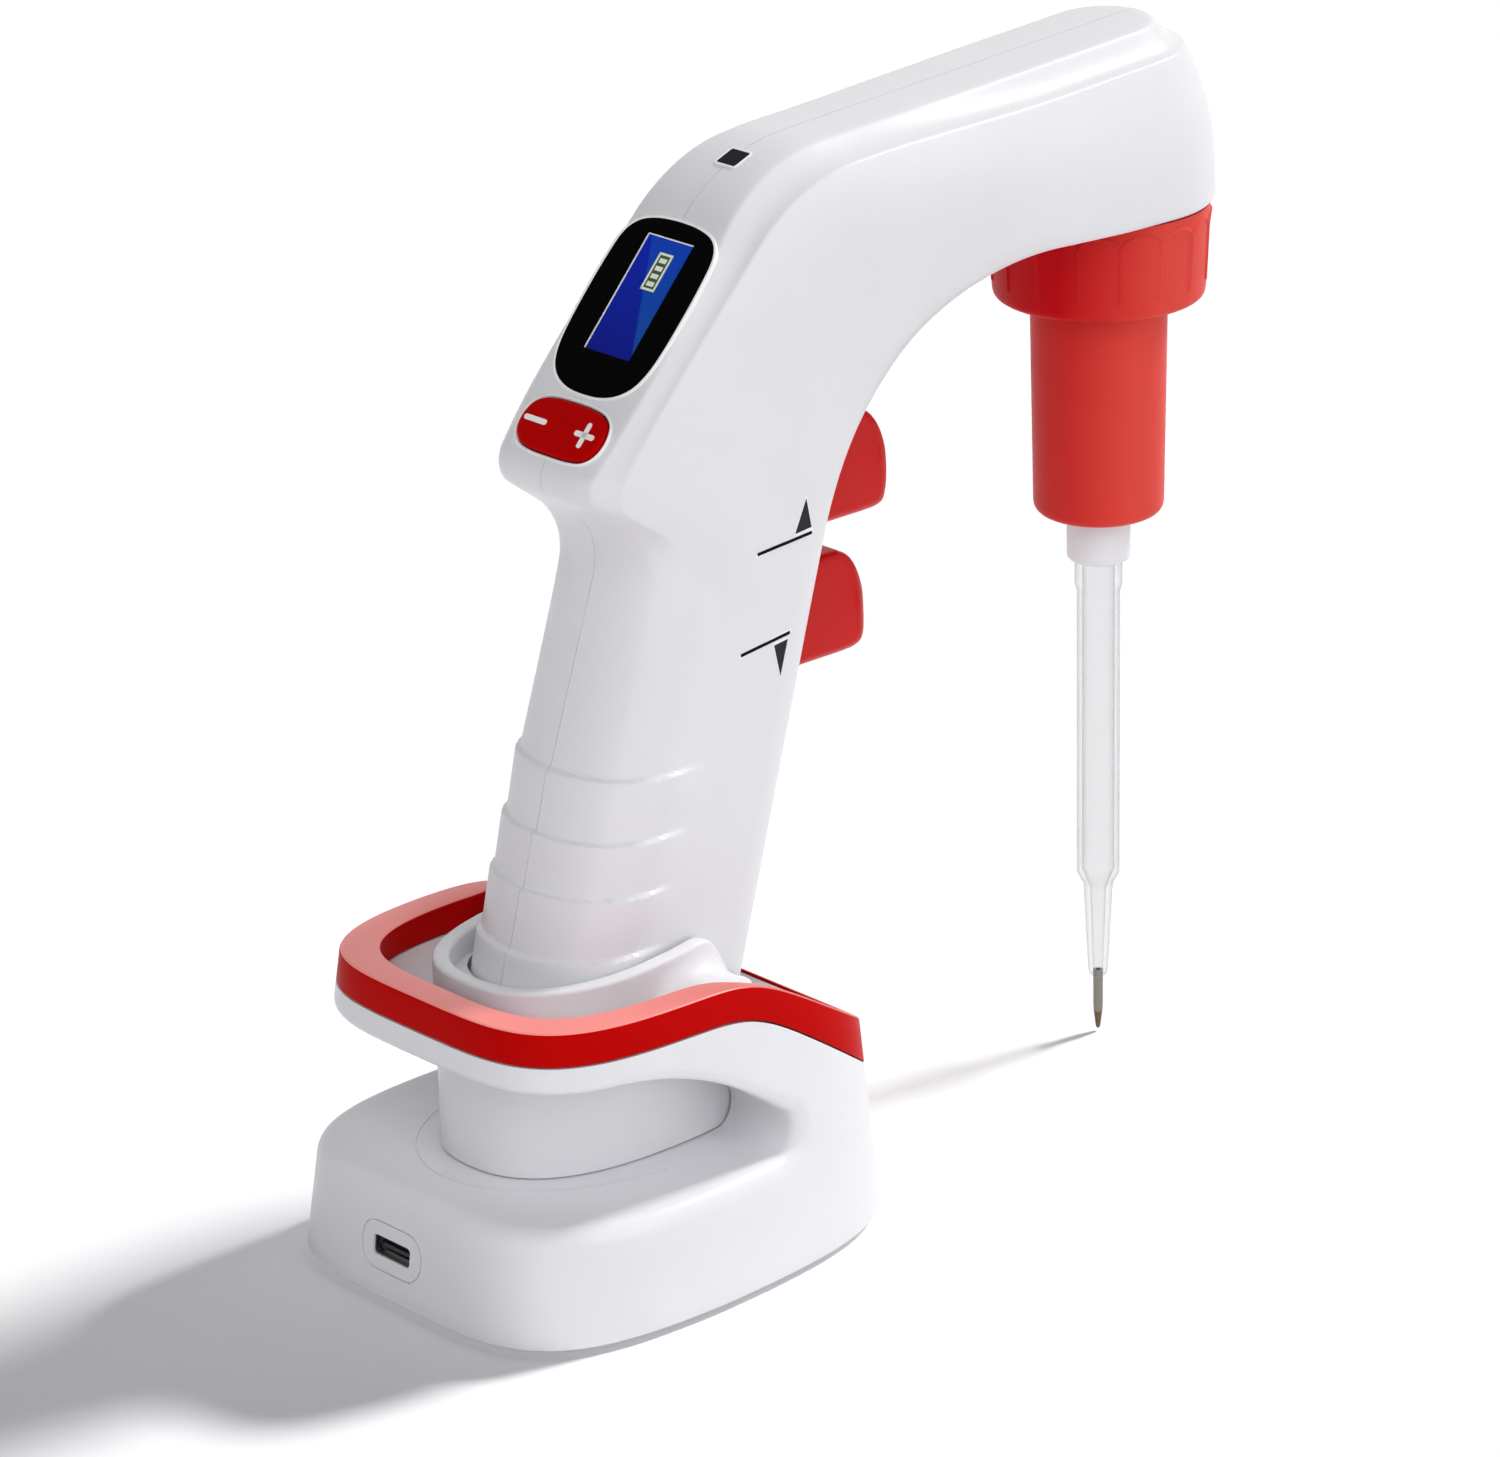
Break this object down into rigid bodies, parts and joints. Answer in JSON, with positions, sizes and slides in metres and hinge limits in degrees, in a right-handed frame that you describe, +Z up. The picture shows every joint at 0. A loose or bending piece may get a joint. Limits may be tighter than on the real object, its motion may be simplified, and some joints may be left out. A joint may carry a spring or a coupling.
{
  "type": "pipette controller",
  "caption": "Cordless pipette controller standing in a charging stand, with two triggers, a speed rocker, a screen and a pipette in its nosepiece.",
  "frame": {"origin": "on the table, on the flat underside of the stand's pad, under the handset's seat", "axes": "+X from the stand towards the pipette, +Y to the user's left, +Z up"},
  "size_m": [0.1926, 0.08, 0.1967],
  "materials": {
    "white_shell": "satin moulded plastic, cool white",
    "red_trim": "satin moulded plastic, deep red",
    "coral_nose": "matte moulded plastic, orange red",
    "grey_plastic": "plain moulded plastic",
    "dark_rubber": "matte rubber",
    "steel": "plain steel",
    "gold_contact": "plated contact",
    "black_plastic": "black moulded plastic",
    "black_window": "gloss black window",
    "green_board": "solder mask",
    "blue_screen": "blue backlit screen",
    "cell_sleeve": "shrink sleeve",
    "white_silicone": "translucent white silicone",
    "clear_tube": "clear tube"
  },
  "bodies": {
    "stand": {"base_shell": "white_shell", "base_plate": "grey_plastic", "non_slip_pad": "dark_rubber", "base_screw_rear_right": "steel", "base_screw_rear_left": "steel", "base_screw_front_right": "steel", "base_screw_front_left": "steel", "ballast": "steel", "board_tray": "black_plastic", "stand_board": "green_board", "usb_socket": "steel", "usb_tongue": "black_plastic", "socket_cup": "white_shell", "ring_trim": "red_trim", "charge_stud_right": "gold_contact", "charge_stud_left": "gold_contact"},
    "handset": {"housing_right": "white_shell", "housing_left": "white_shell", "end_cap": "white_shell", "charge_pad_right": "gold_contact", "charge_pad_left": "gold_contact", "display_window": "black_window", "display_module": "blue_screen", "display_board": "green_board", "rocker_pin": "steel", "rocker_switch_right": "grey_plastic", "rocker_switch_left": "grey_plastic", "indicator_lens": "black_window", "main_board": "green_board", "battery_cell": "cell_sleeve", "battery_cradle": "grey_plastic", "pump_motor": "steel", "pump_head": "grey_plastic", "aspirate_valve": "grey_plastic", "dispense_valve": "grey_plastic", "nose_hose": "white_silicone", "valve_hose": "white_silicone", "spigot": "grey_plastic", "housing_screw_nose": "steel", "housing_screw_head": "steel", "housing_screw_neck": "steel", "housing_screw_grip": "steel"},
    "aspirate_button": {"aspirate_trigger": "red_trim", "aspirate_valve_stem": "steel", "aspirate_spring": "steel"},
    "dispense_button": {"dispense_trigger": "red_trim", "dispense_valve_stem": "steel", "dispense_spring": "steel"},
    "rocker": {"speed_rocker": "red_trim"},
    "nosepiece": {"nose_cone": "coral_nose", "pipette_holder": "white_silicone", "air_filter": "white_silicone", "nose_seal": "dark_rubber"},
    "collar": {"nose_collar": "coral_nose"},
    "pipette": {"pipette_tube": "clear_tube", "pipette_tip": "steel"}
  },
  "joints": [
    {"name": "lift_off", "type": "slide", "parent": "stand", "child": "handset", "axis": [0.2639, 0, 0.9646], "range_m": [0, 0.08]},
    {"name": "aspirate_press", "type": "slide", "parent": "handset", "child": "aspirate_button", "axis": [-1, 0, 0], "range_m": [0, 0.004], "stiffness_N_per_m": 350, "springref_m": -0.003, "deforming": ["aspirate_spring"]},
    {"name": "dispense_press", "type": "slide", "parent": "handset", "child": "dispense_button", "axis": [-1, 0, 0], "range_m": [0, 0.004], "stiffness_N_per_m": 350, "springref_m": -0.003, "deforming": ["dispense_spring"]},
    {"name": "speed_rock", "type": "hinge", "parent": "handset", "child": "rocker", "pos_m": [-0.00168, 0, 0.14747], "axis": [-0.6692, 0, -0.7431], "range_deg": [-3, 3], "stiffness_Nm_per_rad": 0.2},
    {"name": "nose_drop", "type": "slide", "parent": "handset", "child": "nosepiece", "axis": [0, 0, -1], "range_m": [0, 0.006]},
    {"name": "collar_turn", "type": "hinge", "parent": "nosepiece", "child": "collar", "pos_m": [0.1237, 0, 0.155], "axis": [0, 0, -1], "range_deg": [0, 720]},
    {"name": "pipette_pull", "type": "slide", "parent": "nosepiece", "child": "pipette", "axis": [0, 0, -1], "range_m": [0, 0.025]}
  ],
  "couplings": [
    {"joint": "nose_drop", "follows": "collar_turn", "m_per_rad": 0.000477}
  ]
}
